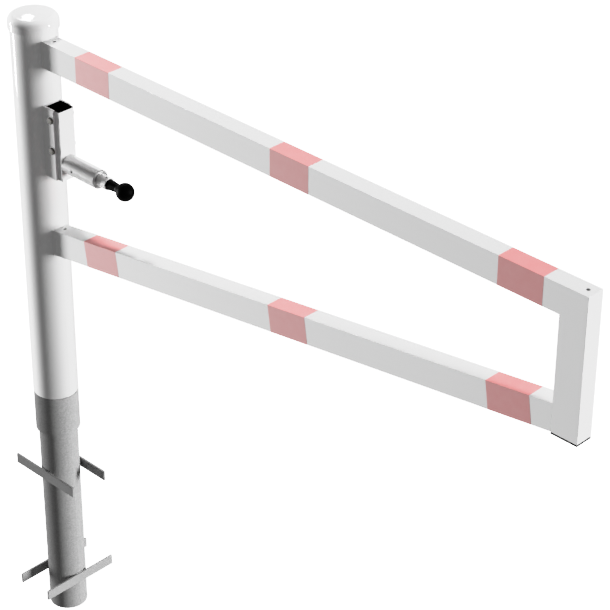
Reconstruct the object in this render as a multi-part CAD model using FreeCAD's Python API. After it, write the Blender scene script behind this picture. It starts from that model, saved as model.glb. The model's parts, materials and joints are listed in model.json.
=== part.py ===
import FreeCAD, Part
import math
import os

# Swing barrier gate: a fixed mast set in the ground, a gate frame that turns on it,
# and a spring plunger that locks the frame every quarter turn.
# Millimetres. +Z is up along the mast, +X runs along the arms, the origin is on the
# mast axis at ground level.

# ---- Fixed mast ------------------------------------------------------------------
MAST_OD = 88.9
MAST_WALL = 4.0
MAST_DEPTH = 600.0
MAST_TOP = 862.0
MAST_R = MAST_OD / 2
MAST_BORE_R = MAST_R - MAST_WALL

COLLAR_HEIGHT = 100.0
COLLAR_TOP = 5.0

ANCHOR_LENGTH = 200.0
ANCHOR_HEIGHT = 25.0
ANCHOR_THICKNESS = 5.0
UPPER_ANCHOR_Z = -215.5
LOWER_ANCHOR_Z = -514.2

# ---- Turning tube ----------------------------------------------------------------
POST_OD = 101.6
POST_WALL = 3.6
POST_R = POST_OD / 2
POST_BORE_R = POST_R - POST_WALL
POST_TOP = 922.0
COLLAR_GAP = 1.0
POST_BOTTOM = COLLAR_TOP + COLLAR_GAP

BUSH_LENGTH = 60.0
RUNNING_GAP = 0.05
BUSH_R = MAST_R + RUNNING_GAP
LOWER_BUSH_ABOVE_FOOT = 4.0
LOWER_BUSH_Z = POST_BOTTOM + LOWER_BUSH_ABOVE_FOOT
UPPER_BUSH_BELOW_HEAD = 12.0
UPPER_BUSH_Z = MAST_TOP - UPPER_BUSH_BELOW_HEAD - BUSH_LENGTH

CAP_R = 54.4
CAP_SKIRT = 18.0
CAP_EDGE_ABOVE_POST = 11.0
CAP_ROUNDING = 16.0
CAP_CROWN = 3.0
CAP_SHELL = 3.4

# ---- Head bearing ----------------------------------------------------------------
HEAD_PLATE = 8.0
THRUST_WASHER = 3.0
THRUST_WASHER_R = 38.0
CARRIER_PLATE = 8.0
CARRIER_PLAY = 0.2
PIVOT_BOLT_R = 8.0
PIVOT_BOLT_HEAD = 10.0
PIVOT_BOLT_TIP = 905.0
PIVOT_TIP_CHAMFER = 1.0
PIVOT_FLATS = 24.0
PIVOT_WASHER_R = 15.0
PIVOT_WASHER = 3.0
PIVOT_NUT = 16.0
PIVOT_RUNNING_GAP = 0.08

# ---- Gate frame ------------------------------------------------------------------
TUBE_TALL = 60.0
TUBE_WIDE = 40.0
TUBE_WALL = 3.0
TUBE_CORNER_R = 0.4
TUBE_INNER_CORNER_R = 0.5
GATE_END = 1480.0
TOP_ARM_TOP = 889.5
UPRIGHT_BOTTOM = 585.5
LOWER_ARM_TOP_AT_AXIS = 435.6
VENT_HOLE_R = 4.0
VENT_NEAR_POST = 65.0
VENT_FROM_END = 17.0

PLUG_FLANGE = 2.0
END_PLUG_FLANGE = 4.5
PLUG_INSERT = 13.0
PLUG_PLAY = 0.3
PLUG_WALL = 2.5

# ---- Red bands -------------------------------------------------------------------
BAND_WIDTH = 102.0
BAND_FILM = 0.4
BAND_CENTRES = (203.8, 766.3, 1331.4)

# ---- Lock housing and its brackets -----------------------------------------------
HOUSING_SIDE = 40.0
HOUSING_WALL = 3.0
HOUSING_X = 51.0
HOUSING_BOTTOM = 578.0
HOUSING_TOP = 743.0
BRACKET_THICKNESS = 5.0
BRACKET_END = 78.0
BRACKET_BOLT_X = 70.0
BRACKET_BOLT_HEIGHTS = (646.5, 718.0)
BRACKET_BOLT_R = 4.0
BRACKET_HOLE_R = 4.5
BRACKET_FLATS = 13.0
BRACKET_HEAD = 5.3
BRACKET_WASHER_R = 8.0
BRACKET_WASHER = 1.6
BRACKET_NUT = 6.5
BRACKET_BOLT_SPARE = 2.5

# ---- Spring plunger --------------------------------------------------------------
LOCK_Z = 615.0
LOCK_TRAVEL = 20.0
LOCK_PIN_R = 8.0
LOCK_PIN_TIP = 46.5
LOCK_PIN_CHAMFER = 1.5
PIN_RUNNING_GAP = 0.08
MAST_LOCK_HOLE_R = 8.5
POST_LOCK_HOLE_R = 9.0
BARREL_R = 21.0
BARREL_BORE_R = 17.0
BARREL_END = 192.0
BARREL_CHAMFER = 1.2
BARREL_VENT_X = 123.0
BARREL_VENT_R = 3.0
GUIDE_START = 146.0
GUIDE_RECESS = 1.5
GUIDE_CHAMFER = 1.0
ROD_R = 13.7
ROD_END = 220.0
ROD_FLANGE = 4.0
ROD_FLANGE_R = 16.7
ROD_STOP_GAP = 0.2
ROD_PIN_SOCKET = 30.0
ROD_GAP = 0.05
SPRING_MEAN_R = 15.35
SPRING_WIRE_R = 1.05
SPRING_TURNS = 11.0
ROLL_PIN_R = 2.5
PIN_ROLL_PIN_X = 128.0
KNOB_ROLL_PIN_X = 212.0
KNOB_ROLL_PIN_RECESS = 2.2
STUD_R = 5.0
STUD_IN_ROD = 16.0
STUD_IN_KNOB = 26.0
KNOB_BASE_R = 11.8
KNOB_NECK_R = 9.4
KNOB_NECK_X = 246.0
KNOB_BALL_R = 20.0
KNOB_BALL_X = 269.0
KNOB_JOIN_ANGLE = 140.0
KNOB_NECK_HOLLOW = 1.1

# ---- Making values ---------------------------------------------------------------
# How far cutting tools run past the material they cut, and the corners off a hexagon.
OVERRUN = 2.0
ARM_OVERRUN = 100.0
HEXAGON_CHAMFER_SHARE = 0.04

# ---- Values that follow ----------------------------------------------------------
UPRIGHT_FACE = GATE_END - TUBE_TALL
TOP_ARM_Z = TOP_ARM_TOP - TUBE_TALL / 2
HOUSING_END = HOUSING_X + HOUSING_SIDE
HOUSING_MID = HOUSING_X + HOUSING_SIDE / 2
ROD_START = HOUSING_END + LOCK_TRAVEL + ROD_STOP_GAP
SPRING_START = ROD_START + ROD_FLANGE

TOLERANCE = 1e-6
X_AXIS = FreeCAD.Vector(1, 0, 0)
Y_AXIS = FreeCAD.Vector(0, 1, 0)
Z_AXIS = FreeCAD.Vector(0, 0, 1)


def at(x, y, z):
    return FreeCAD.Vector(x, y, z)


def rod(radius, length, base, axis=Z_AXIS):
    """A round bar from base along axis."""
    return Part.makeCylinder(radius, length, base, axis)


def pipe(outer_r, inner_r, length, base, axis=Z_AXIS):
    """A round tube from base along axis."""
    return rod(outer_r, length, base, axis).cut(rod(inner_r, length, base, axis))


def block(x, y, z):
    """A box between the low and high value of each pair."""
    return Part.makeBox(x[1] - x[0], y[1] - y[0], z[1] - z[0], at(x[0], y[0], z[0]))


def prism(corners, thickness):
    """An XZ outline made thickness wide, centred on y = 0."""
    points = [at(x, -thickness / 2, z) for x, z in corners]
    outline = Part.makePolygon(points + points[:1])
    return Part.Face(outline).extrude(at(0, thickness, 0))


def section(tall, wide, corner_r):
    """A rounded rectangle in the YZ plane, tall along Z, centred on the X axis."""
    bar = block((0, 1), (-wide / 2, wide / 2), (-tall / 2, tall / 2))
    long_edges = [edge for edge in bar.Edges if edge.Curve.Direction.isParallel(X_AXIS, TOLERANCE)]
    rounded = bar.makeFillet(corner_r, long_edges)
    face = min(rounded.Faces, key=lambda each: each.CenterOfMass.x)
    return face.OuterWire


def bar_along_x(tall, wide, corner_r, start, end):
    """A rounded rectangular bar on the X axis."""
    face = Part.Face(section(tall, wide, corner_r))
    bar = face.extrude(at(end - start, 0, 0))
    bar.translate(at(start, 0, 0))
    return bar


def square_tube(tall, wide, start, end):
    """A rectangular hollow section on the X axis."""
    outer = bar_along_x(tall, wide, TUBE_CORNER_R, start, end)
    inner_tall = tall - 2 * TUBE_WALL
    inner_wide = wide - 2 * TUBE_WALL
    inner = bar_along_x(inner_tall, inner_wide, TUBE_INNER_CORNER_R, start - OVERRUN, end + OVERRUN)
    return outer.cut(inner)


def upright(shape):
    """Turns a bar on the X axis to stand on the Z axis, its tall side along X."""
    shape.rotate(at(0, 0, 0), Y_AXIS, -90)
    return shape


def hexagon(flats, height, base, axis=Z_AXIS):
    """A hexagonal prism with its corners taken off at both ends."""
    across_corners = flats / math.cos(math.radians(30))
    corners = []
    for step in range(7):
        angle = math.radians(60 * step)
        corners.append(at(math.cos(angle), math.sin(angle), 0) * (across_corners / 2))
    prism_shape = Part.Face(Part.makePolygon(corners)).extrude(at(0, 0, height))
    turned = rod(across_corners / 2, height, at(0, 0, 0))
    turned = turned.makeChamfer(flats * HEXAGON_CHAMFER_SHARE, [turned.Edges[0], turned.Edges[2]])
    shape = prism_shape.common(turned)
    shape.Placement = FreeCAD.Placement(base, FreeCAD.Rotation(Z_AXIS, axis))
    return shape


def turned_about_x(points, z):
    """A solid of revolution about the lock axis; points are (x, radius) or an arc's three points."""
    edges = []
    for start, *middle, end in points:
        first = at(start[0], 0, z + start[1])
        last = at(end[0], 0, z + end[1])
        if middle:
            through = at(middle[0][0], 0, z + middle[0][1])
            edges.append(Part.Arc(first, through, last).toShape())
        else:
            edges.append(Part.makeLine(first, last))
    face = Part.Face(Part.Wire(edges))
    return face.revolve(at(0, 0, z), X_AXIS, 360)


def circle_edges(shape, radius, centre):
    """The circular edges with one radius and one centre."""
    found = []
    for edge in shape.Edges:
        curve = edge.Curve
        if not hasattr(curve, "Radius") or abs(curve.Radius - radius) > TOLERANCE:
            continue
        if curve.Center.distanceToPoint(centre) < TOLERANCE:
            found.append(edge)
    return found


def domed_rod(radius, rounding, crown, base_z, edge_z):
    """An upright rod with a rounded shoulder, then a crown that rises above its edge height."""
    body = rod(radius, edge_z - base_z, at(0, 0, base_z))
    body = body.makeFillet(rounding, circle_edges(body, radius, at(0, 0, edge_z)))
    flat_r = radius - rounding
    ball_r = (flat_r**2 + crown**2) / (2 * crown)
    ball = Part.makeSphere(ball_r, at(0, 0, edge_z + crown - ball_r))
    return body.fuse(ball.common(rod(flat_r, 2 * crown, at(0, 0, edge_z - crown / 2))))


def save(node, *solids):
    """Writes one node: a solid, or a group of separate solids."""
    shape = solids[0] if len(solids) == 1 else Part.makeCompound(list(solids))
    shape.exportStep("parts/" + node + ".step")


# ---- Fixed mast ------------------------------------------------------------------

def mast_tube():
    """The ground tube, which runs on up inside the gate post, cross-drilled for the lock."""
    tube = pipe(MAST_R, MAST_BORE_R, MAST_TOP + MAST_DEPTH, at(0, 0, -MAST_DEPTH))
    for axis in (X_AXIS, Y_AXIS):
        start = at(0, 0, LOCK_Z) - axis * POST_R
        tube = tube.cut(rod(MAST_LOCK_HOLE_R, POST_OD, start, axis))
    return tube


def ground_collar():
    """The plain galvanised ring that closes the foot of the post."""
    return pipe(POST_R, MAST_R, COLLAR_HEIGHT, at(0, 0, COLLAR_TOP - COLLAR_HEIGHT))


def anchor_pair(z, crossing):
    """Two flat bars welded tangent to the ground tube, on opposite sides."""
    half = ANCHOR_LENGTH / 2
    pair = []
    for side in (-1, 1):
        near = side * MAST_R
        far = side * (MAST_R + ANCHOR_THICKNESS)
        across = (min(near, far), max(near, far))
        heights = (z - ANCHOR_HEIGHT / 2, z + ANCHOR_HEIGHT / 2)
        if crossing:
            bar = block(across, (-half, half), heights)
        else:
            bar = block((-half, half), across, heights)
        pair.append(bar)
    return pair


def mast_top_plate():
    """The plate that closes the mast and holds the pivot bolt."""
    return pipe(MAST_R, PIVOT_BOLT_R, HEAD_PLATE, at(0, 0, MAST_TOP))


def pivot_bolt():
    """Head under the mast plate, shank up through the gate's carrier plate."""
    head = hexagon(PIVOT_FLATS, PIVOT_BOLT_HEAD, at(0, 0, MAST_TOP - PIVOT_BOLT_HEAD))
    shank = rod(PIVOT_BOLT_R, PIVOT_BOLT_TIP - MAST_TOP, at(0, 0, MAST_TOP))
    tip = circle_edges(shank, PIVOT_BOLT_R, at(0, 0, PIVOT_BOLT_TIP))
    return head.fuse(shank.makeChamfer(PIVOT_TIP_CHAMFER, tip))


def head_bearing():
    """The thrust washer, and the washer and lock nut that keep the gate from lifting off."""
    washer_z = MAST_TOP + HEAD_PLATE
    nut_seat = washer_z + THRUST_WASHER + CARRIER_PLATE + CARRIER_PLAY
    hole = PIVOT_BOLT_R + PIVOT_RUNNING_GAP
    thrust = pipe(THRUST_WASHER_R, hole, THRUST_WASHER, at(0, 0, washer_z))
    washer = pipe(PIVOT_WASHER_R, hole, PIVOT_WASHER, at(0, 0, nut_seat))
    nut_base = at(0, 0, nut_seat + PIVOT_WASHER)
    nut = hexagon(PIVOT_FLATS, PIVOT_NUT, nut_base)
    nut = nut.cut(rod(PIVOT_BOLT_R, PIVOT_NUT, nut_base))
    return thrust, washer, nut


# ---- Gate post -------------------------------------------------------------------

def gate_post():
    """The tube that turns round the mast, drilled on the arm side for the lock pin."""
    tube = pipe(POST_R, POST_BORE_R, POST_TOP - POST_BOTTOM, at(0, 0, POST_BOTTOM))
    return tube.cut(rod(POST_LOCK_HOLE_R, POST_R, at(0, 0, LOCK_Z), X_AXIS))


def post_bush(z):
    """A plastic bearing bush fixed in the gate post, running on the mast."""
    return pipe(POST_BORE_R, BUSH_R, BUSH_LENGTH, at(0, 0, z))


def carrier_plate():
    """The disc welded inside the post that carries the gate on the thrust washer."""
    hole = PIVOT_BOLT_R + PIVOT_RUNNING_GAP
    return pipe(POST_BORE_R, hole, CARRIER_PLATE, at(0, 0, MAST_TOP + HEAD_PLATE + THRUST_WASHER))


def post_cap():
    """A moulded cap: a skirt over the tube, a large rounded shoulder and a slight crown."""
    skirt_z = POST_TOP - CAP_SKIRT
    edge_z = POST_TOP + CAP_EDGE_ABOVE_POST
    outside = domed_rod(CAP_R, CAP_ROUNDING, CAP_CROWN, skirt_z, edge_z)
    inside = domed_rod(POST_BORE_R, CAP_ROUNDING - CAP_SHELL, CAP_CROWN, skirt_z, edge_z - CAP_SHELL)
    head_space = inside.common(rod(POST_R, 2 * CAP_SKIRT, at(0, 0, POST_TOP)))
    skirt_space = rod(POST_R + RUNNING_GAP, CAP_SKIRT, at(0, 0, skirt_z))
    return outside.cut(skirt_space).cut(head_space).Solids[0]


# ---- Gate frame ------------------------------------------------------------------

def lower_arm_slope():
    """The lower arm's angle in degrees: its underside reaches the upright's lower end."""
    angle = 0.0
    for _ in range(20):
        top_at_upright = UPRIGHT_BOTTOM + TUBE_TALL / math.cos(angle)
        angle = math.atan((top_at_upright - LOWER_ARM_TOP_AT_AXIS) / UPRIGHT_FACE)
    return math.degrees(angle)


LOWER_SLOPE = lower_arm_slope()
LOWER_ARM_Z = LOWER_ARM_TOP_AT_AXIS - TUBE_TALL / 2 / math.cos(math.radians(LOWER_SLOPE))


def lay_on_lower_arm(shape):
    """Moves a shape built on the X axis onto the lower arm's axis."""
    shape.rotate(at(0, 0, 0), Y_AXIS, -LOWER_SLOPE)
    shape.translate(at(0, 0, LOWER_ARM_Z))
    return shape


def post_space():
    """The room the post takes out of whatever is welded against it."""
    return rod(POST_R, POST_TOP, at(0, 0, 0))


def vent(x, top):
    """A drill through the upper wall of an arm."""
    return rod(VENT_HOLE_R, TUBE_WALL + 2 * OVERRUN, at(x, 0, top - TUBE_WALL - OVERRUN))


def corner_mitre(for_arm):
    """What the 45 degree mitre takes off the top arm, or off the upright."""
    inner = (UPRIGHT_FACE - OVERRUN, TOP_ARM_TOP - TUBE_TALL - OVERRUN)
    outer = (GATE_END + OVERRUN, TOP_ARM_TOP + OVERRUN)
    third = (outer[0], inner[1]) if for_arm else (inner[0], outer[1])
    return prism([inner, outer, third], 2 * TUBE_WIDE)


def top_arm():
    """The level arm: coped to the post, mitred to the upright, two vent holes on top."""
    arm = square_tube(TUBE_TALL, TUBE_WIDE, 0, GATE_END)
    arm.translate(at(0, 0, TOP_ARM_Z))
    arm = arm.cut(post_space()).cut(corner_mitre(True))
    for x in (VENT_NEAR_POST, GATE_END - VENT_FROM_END):
        arm = arm.cut(vent(x, TOP_ARM_TOP))
    return arm


def lower_arm():
    """The rising arm: coped to the post, cut upright where it meets the end upright."""
    slope = math.radians(LOWER_SLOPE)
    arm = lay_on_lower_arm(square_tube(TUBE_TALL, TUBE_WIDE, -ARM_OVERRUN, GATE_END + ARM_OVERRUN))
    beyond = block((UPRIGHT_FACE, 2 * GATE_END), (-TUBE_WIDE, TUBE_WIDE), (0, POST_TOP))
    behind = block((-2 * ARM_OVERRUN, 0), (-TUBE_WIDE, TUBE_WIDE), (0, POST_TOP))
    arm = arm.cut(beyond).cut(behind).cut(post_space())
    vent_top = LOWER_ARM_TOP_AT_AXIS + VENT_NEAR_POST * math.tan(slope)
    return arm.cut(vent(VENT_NEAR_POST, vent_top))


def end_upright():
    """The upright at the free end, mitred to the top arm."""
    tube = upright(square_tube(TUBE_TALL, TUBE_WIDE, UPRIGHT_BOTTOM, TOP_ARM_TOP))
    tube.translate(at(GATE_END - TUBE_TALL / 2, 0, 0))
    return tube.cut(corner_mitre(False))


def tube_plug(tall, wide, wall, flange_height, flange_z, inward):
    """A moulded plug for an upright hollow section: a flange and a hollow insert."""
    flange = upright(bar_along_x(tall, wide, TUBE_CORNER_R, 0, flange_height))
    insert_tall = tall - 2 * wall - 2 * PLUG_PLAY
    insert_wide = wide - 2 * wall - 2 * PLUG_PLAY
    insert = bar_along_x(insert_tall, insert_wide, TUBE_INNER_CORNER_R, 0, PLUG_INSERT)
    hollow = bar_along_x(
        insert_tall - 2 * PLUG_WALL, insert_wide - 2 * PLUG_WALL, TUBE_INNER_CORNER_R, 0, PLUG_INSERT
    )
    insert = upright(insert.cut(hollow))
    insert.translate(at(0, 0, flange_height))
    plug = flange.fuse(insert)
    if inward < 0:
        plug.rotate(at(0, 0, 0), X_AXIS, 180)
    plug.translate(at(0, 0, flange_z))
    return plug


def end_plug():
    """The black plug in the foot of the end upright."""
    foot = UPRIGHT_BOTTOM - END_PLUG_FLANGE
    plug = tube_plug(TUBE_TALL, TUBE_WIDE, TUBE_WALL, END_PLUG_FLANGE, foot, 1)
    plug.translate(at(GATE_END - TUBE_TALL / 2, 0, 0))
    return plug


def arm_bands(offset):
    """Reflective film wrapped round an arm on the X axis, one ring for each band."""
    bands = []
    for centre in BAND_CENTRES:
        start = centre + offset - BAND_WIDTH / 2
        end = centre + offset + BAND_WIDTH / 2
        grow = 2 * BAND_FILM
        outside = bar_along_x(TUBE_TALL + grow, TUBE_WIDE + grow, TUBE_CORNER_R + BAND_FILM, start, end)
        inside = bar_along_x(TUBE_TALL, TUBE_WIDE, TUBE_CORNER_R, start - OVERRUN, end + OVERRUN)
        bands.append(outside.cut(inside))
    return bands


def top_arm_bands():
    bands = arm_bands(0)
    for band in bands:
        band.translate(at(0, 0, TOP_ARM_Z))
    return bands


def lower_arm_bands():
    """The same bands, set out along the lower arm's upper edge instead of its axis."""
    offset = TUBE_TALL / 2 * math.tan(math.radians(LOWER_SLOPE))
    return [lay_on_lower_arm(band) for band in arm_bands(offset)]


# ---- Lock housing ----------------------------------------------------------------

def bracket_bolt_holes(radius):
    """Drills across the housing for the two bracket bolts."""
    reach = HOUSING_SIDE + 4 * BRACKET_THICKNESS
    drills = [
        rod(radius, reach, at(BRACKET_BOLT_X, -reach / 2, z), Y_AXIS) for z in BRACKET_BOLT_HEIGHTS
    ]
    return Part.makeCompound(drills)


def lock_housing():
    """The square tube that holds the plunger, open at both ends for its plugs."""
    start = HOUSING_BOTTOM + PLUG_FLANGE
    end = HOUSING_TOP - PLUG_FLANGE
    tube = upright(square_tube(HOUSING_SIDE, HOUSING_SIDE, start, end))
    tube.translate(at(HOUSING_MID, 0, 0))
    drill_start = at(HOUSING_X - OVERRUN, 0, LOCK_Z)
    pin_drill = rod(LOCK_PIN_R + PIN_RUNNING_GAP, HOUSING_SIDE + 2 * OVERRUN, drill_start, X_AXIS)
    return tube.cut(bracket_bolt_holes(BRACKET_HOLE_R)).cut(pin_drill)


def housing_plug(z, inward):
    plug = tube_plug(HOUSING_SIDE, HOUSING_SIDE, HOUSING_WALL, PLUG_FLANGE, z, inward)
    plug.translate(at(HOUSING_MID, 0, 0))
    return plug


def bracket_plate(side):
    """A side plate, welded to the post and bolted to the housing."""
    near = side * HOUSING_SIDE / 2
    far = side * (HOUSING_SIDE / 2 + BRACKET_THICKNESS)
    across = (min(near, far), max(near, far))
    plate = block((0, BRACKET_END), across, (HOUSING_BOTTOM, HOUSING_TOP))
    return plate.cut(post_space()).cut(bracket_bolt_holes(BRACKET_HOLE_R))


def bracket_bolts():
    """Hexagon bolts from the front plate through to the rear one."""
    face = HOUSING_SIDE / 2 + BRACKET_THICKNESS
    length = 2 * face + BRACKET_WASHER + BRACKET_NUT + BRACKET_BOLT_SPARE
    bolts = []
    for z in BRACKET_BOLT_HEIGHTS:
        head = hexagon(BRACKET_FLATS, BRACKET_HEAD, at(BRACKET_BOLT_X, -face, z), -Y_AXIS)
        shank = rod(BRACKET_BOLT_R, length, at(BRACKET_BOLT_X, -face, z), Y_AXIS)
        bolts.append(head.fuse(shank))
    return bolts


def bracket_washers():
    face = HOUSING_SIDE / 2 + BRACKET_THICKNESS
    return [
        pipe(BRACKET_WASHER_R, BRACKET_HOLE_R, BRACKET_WASHER, at(BRACKET_BOLT_X, face, z), Y_AXIS)
        for z in BRACKET_BOLT_HEIGHTS
    ]


def bracket_nuts():
    seat = HOUSING_SIDE / 2 + BRACKET_THICKNESS + BRACKET_WASHER
    nuts = []
    for z in BRACKET_BOLT_HEIGHTS:
        base = at(BRACKET_BOLT_X, seat, z)
        nut = hexagon(BRACKET_FLATS, BRACKET_NUT, base, Y_AXIS)
        nuts.append(nut.cut(rod(BRACKET_BOLT_R, BRACKET_NUT, base, Y_AXIS)))
    return nuts


# ---- Spring plunger --------------------------------------------------------------

def plunger_barrel():
    """The round barrel on the housing's outer face, with a small vent hole at its side."""
    length = BARREL_END - HOUSING_END
    barrel = rod(BARREL_R, length, at(HOUSING_END, 0, LOCK_Z), X_AXIS)
    rim = circle_edges(barrel, BARREL_R, at(BARREL_END, 0, LOCK_Z))
    barrel = barrel.makeChamfer(BARREL_CHAMFER, rim)
    barrel = barrel.cut(rod(BARREL_BORE_R, length, at(HOUSING_END, 0, LOCK_Z), X_AXIS))
    return barrel.cut(rod(BARREL_VENT_R, BARREL_R, at(BARREL_VENT_X, -BARREL_R, LOCK_Z), Y_AXIS))


def barrel_guide():
    """The bush in the barrel's mouth that guides the pull rod and backs the spring."""
    end = BARREL_END - GUIDE_RECESS
    guide = rod(BARREL_BORE_R, end - GUIDE_START, at(GUIDE_START, 0, LOCK_Z), X_AXIS)
    rim = circle_edges(guide, BARREL_BORE_R, at(end, 0, LOCK_Z))
    guide = guide.makeChamfer(GUIDE_CHAMFER, rim)
    return guide.cut(rod(ROD_R + ROD_GAP, end - GUIDE_START, at(GUIDE_START, 0, LOCK_Z), X_AXIS))


def locking_pin():
    """The steel pin, drawn clear of the mast; its inner end is chamfered."""
    end = ROD_START + ROD_PIN_SOCKET
    pin = rod(LOCK_PIN_R, end - LOCK_PIN_TIP, at(LOCK_PIN_TIP, 0, LOCK_Z), X_AXIS)
    tip = circle_edges(pin, LOCK_PIN_R, at(LOCK_PIN_TIP, 0, LOCK_Z))
    pin = pin.makeChamfer(LOCK_PIN_CHAMFER, tip)
    return pin.cut(rod(ROLL_PIN_R, 2 * ROD_R, at(PIN_ROLL_PIN_X, 0, LOCK_Z - ROD_R), Z_AXIS))


def pull_rod():
    """The pull rod: a flange for the spring, a socket for the pin, a tapped end for the knob."""
    body = rod(ROD_R, ROD_END - ROD_START, at(ROD_START, 0, LOCK_Z), X_AXIS)
    flange = rod(ROD_FLANGE_R, ROD_FLANGE, at(ROD_START, 0, LOCK_Z), X_AXIS)
    shape = body.fuse(flange)
    shape = shape.cut(rod(LOCK_PIN_R, ROD_PIN_SOCKET, at(ROD_START, 0, LOCK_Z), X_AXIS))
    shape = shape.cut(rod(STUD_R, STUD_IN_ROD, at(ROD_END - STUD_IN_ROD, 0, LOCK_Z), X_AXIS))
    shape = shape.cut(rod(ROLL_PIN_R, 2 * ROD_R, at(PIN_ROLL_PIN_X, 0, LOCK_Z - ROD_R), Z_AXIS))
    return shape.cut(rod(ROLL_PIN_R, ROD_R, at(KNOB_ROLL_PIN_X, 0, LOCK_Z), Z_AXIS))


def lock_spring():
    """The compression spring round the pull rod, short because the plunger is drawn."""
    length = GUIDE_START - SPRING_START - 2 * SPRING_WIRE_R - 2 * ROD_GAP
    pitch = length / SPRING_TURNS
    path = Part.makeHelix(pitch, length, SPRING_MEAN_R)
    start = at(SPRING_MEAN_R, 0, 0)
    tangent = at(0, 2 * math.pi * SPRING_MEAN_R, pitch)
    wire_section = Part.Wire(Part.makeCircle(SPRING_WIRE_R, start, tangent))
    spring = Part.Wire(path.Edges).makePipeShell([wire_section], True, True)
    turn = FreeCAD.Rotation(Z_AXIS, X_AXIS)
    foot = at(SPRING_START + SPRING_WIRE_R + ROD_GAP, 0, LOCK_Z)
    spring.Placement = FreeCAD.Placement(foot, turn)
    return spring


def roll_pins():
    """One holds the locking pin in the rod, one holds the knob's stud and sits below the surface."""
    length = 2 * math.sqrt(ROD_R**2 - ROLL_PIN_R**2)
    through = rod(ROLL_PIN_R, length, at(PIN_ROLL_PIN_X, 0, LOCK_Z - length / 2), Z_AXIS)
    top = ROD_R - KNOB_ROLL_PIN_RECESS
    blind = rod(ROLL_PIN_R, top - STUD_R, at(KNOB_ROLL_PIN_X, 0, LOCK_Z + STUD_R), Z_AXIS)
    stud = rod(STUD_R, 2 * STUD_IN_ROD, at(ROD_END - 2 * STUD_IN_ROD, 0, LOCK_Z), X_AXIS)
    return through, blind.cut(stud)


def knob_stud():
    """The threaded insert that joins the knob to the pull rod."""
    return rod(STUD_R, STUD_IN_ROD + STUD_IN_KNOB, at(ROD_END - STUD_IN_ROD, 0, LOCK_Z), X_AXIS)


def ball_knob():
    """A ball on a tapered neck, moulded in one."""
    ball_end = KNOB_BALL_X + KNOB_BALL_R
    join_angle = math.radians(KNOB_JOIN_ANGLE)
    join = (
        KNOB_BALL_X + KNOB_BALL_R * math.cos(join_angle),
        KNOB_BALL_R * math.sin(join_angle),
    )
    run = join[0] - KNOB_NECK_X
    rise = join[1] - KNOB_NECK_R
    inward = KNOB_NECK_HOLLOW / math.hypot(run, rise)
    sweep = (
        KNOB_NECK_X + run / 2 + rise * inward,
        KNOB_NECK_R + rise / 2 - run * inward,
    )
    profile = [
        ((ROD_END, 0), (ROD_END, KNOB_BASE_R)),
        ((ROD_END, KNOB_BASE_R), (KNOB_NECK_X, KNOB_NECK_R)),
        ((KNOB_NECK_X, KNOB_NECK_R), sweep, join),
        (join, (KNOB_BALL_X, KNOB_BALL_R), (ball_end, 0)),
        ((ball_end, 0), (ROD_END, 0)),
    ]
    knob = turned_about_x(profile, LOCK_Z)
    return knob.cut(rod(STUD_R, STUD_IN_KNOB, at(ROD_END, 0, LOCK_Z), X_AXIS))


def build():
    os.makedirs("parts", exist_ok=True)

    save("mast_tube", mast_tube())
    save("ground_collar", ground_collar())
    save("upper_anchor_bars", *anchor_pair(UPPER_ANCHOR_Z, False))
    save("lower_anchor_bars", *anchor_pair(LOWER_ANCHOR_Z, True))
    save("mast_top_plate", mast_top_plate())
    save("pivot_bolt", pivot_bolt())
    thrust, washer, nut = head_bearing()
    save("thrust_washer", thrust)
    save("pivot_washer", washer)
    save("pivot_lock_nut", nut)

    save("gate_post", gate_post())
    save("lower_bush", post_bush(LOWER_BUSH_Z))
    save("upper_bush", post_bush(UPPER_BUSH_Z))
    save("carrier_plate", carrier_plate())
    save("post_cap", post_cap())

    save("top_arm", top_arm())
    save("lower_arm", lower_arm())
    save("end_upright", end_upright())
    save("end_plug", end_plug())
    save("top_arm_bands", *top_arm_bands())
    save("lower_arm_bands", *lower_arm_bands())

    save("lock_housing", lock_housing())
    save("housing_top_plug", housing_plug(HOUSING_TOP, -1))
    save("housing_bottom_plug", housing_plug(HOUSING_BOTTOM, 1))
    save("bracket_plate_front", bracket_plate(-1))
    save("bracket_plate_rear", bracket_plate(1))
    save("bracket_bolts", *bracket_bolts())
    save("bracket_washers", *bracket_washers())
    save("bracket_nuts", *bracket_nuts())

    save("plunger_barrel", plunger_barrel())
    save("barrel_guide", barrel_guide())
    save("locking_pin", locking_pin())
    save("pull_rod", pull_rod())
    save("lock_spring", lock_spring())
    pin_roll_pin, knob_roll_pin = roll_pins()
    save("pin_roll_pin", pin_roll_pin)
    save("knob_roll_pin", knob_roll_pin)
    save("knob_stud", knob_stud())
    save("ball_knob", ball_knob())


build()
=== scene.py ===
import json
import math

import bmesh
import bpy
from mathutils import Matrix, Vector

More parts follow.
